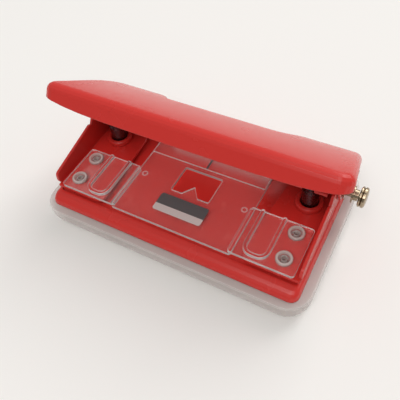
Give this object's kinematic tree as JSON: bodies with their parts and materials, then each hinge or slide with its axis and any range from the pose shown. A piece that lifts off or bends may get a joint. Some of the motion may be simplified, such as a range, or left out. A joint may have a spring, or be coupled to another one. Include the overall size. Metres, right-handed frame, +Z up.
{
  "type": "two_hole_punch",
  "caption": "Compact red sheet-steel desk punch for two holes, with a clear paper guide, a side knob that locks the pressed handle, and a clear chip tray",
  "frame": {"origin": "Centre of the chip tray's flat bottom, on the table, midway between the two punches", "axes": "+X along the handle towards the lock knob, +Y towards the hinge side, +Z up; the paper goes in from -Y"},
  "size_m": [0.1124, 0.064, 0.0485],
  "materials": {
    "red_enamel": "gloss enamel over pressed sheet",
    "clear_styrene": "clear moulded",
    "bright_steel": "turned and bright",
    "nickel_plate": "warm nickel plate",
    "spring_steel": "drawn wire"
  },
  "bodies": {
    "base": {"base_plate": "red_enamel", "punch_frame": "red_enamel", "paper_stop": "red_enamel", "paper_guide": "clear_styrene", "guide_stud_left_front": "clear_styrene", "guide_stud_left_rear": "clear_styrene", "guide_stud_right_front": "clear_styrene", "guide_stud_right_rear": "clear_styrene", "guide_screw_left": "bright_steel", "guide_screw_right": "bright_steel", "frame_rivet_left_outer": "bright_steel", "frame_rivet_left_inner": "bright_steel", "frame_rivet_right_outer": "bright_steel", "frame_rivet_right_inner": "bright_steel", "hinge_axle": "bright_steel", "axle_clip": "spring_steel", "punch_bush_left": "bright_steel", "punch_bush_right": "bright_steel", "lock_bush": "nickel_plate", "return_spring_left": "spring_steel", "return_spring_right": "spring_steel"},
    "handle": {"handle_cover": "red_enamel", "cheek_left": "red_enamel", "cheek_right": "red_enamel", "press_bar": "red_enamel"},
    "left_punch": {"punch_left": "bright_steel"},
    "right_punch": {"punch_right": "bright_steel"},
    "lock": {"lock_pin": "nickel_plate", "lock_knob": "nickel_plate"},
    "tray": {"chip_tray": "clear_styrene"}
  },
  "joints": [
    {"name": "handle_hinge", "type": "hinge", "parent": "base", "child": "handle", "pos_m": [0, 0.022, 0.02], "axis": [1, 0, 0], "range_deg": [0, 23], "stiffness_Nm_per_rad": 0.25, "springref_deg": -45.84, "deforming": ["return_spring_left", "return_spring_right"]},
    {"name": "punch_left_slide", "type": "slide", "parent": "base", "child": "left_punch", "axis": [0, 0, -1], "range_m": [0, 0.0057]},
    {"name": "punch_right_slide", "type": "slide", "parent": "base", "child": "right_punch", "axis": [0, 0, -1], "range_m": [0, 0.0057]},
    {"name": "lock_pin_slide", "type": "slide", "parent": "base", "child": "lock", "axis": [-1, 0, 0], "range_m": [0, 0.0022]},
    {"name": "tray_release", "type": "slide", "parent": "base", "child": "tray", "axis": [0, 0, -1], "range_m": [0, 0.016]}
  ],
  "couplings": [
    {"joint": "punch_left_slide", "follows": "handle_hinge", "m_per_rad": 0.014075},
    {"joint": "punch_right_slide", "follows": "handle_hinge", "m_per_rad": 0.014075}
  ]
}
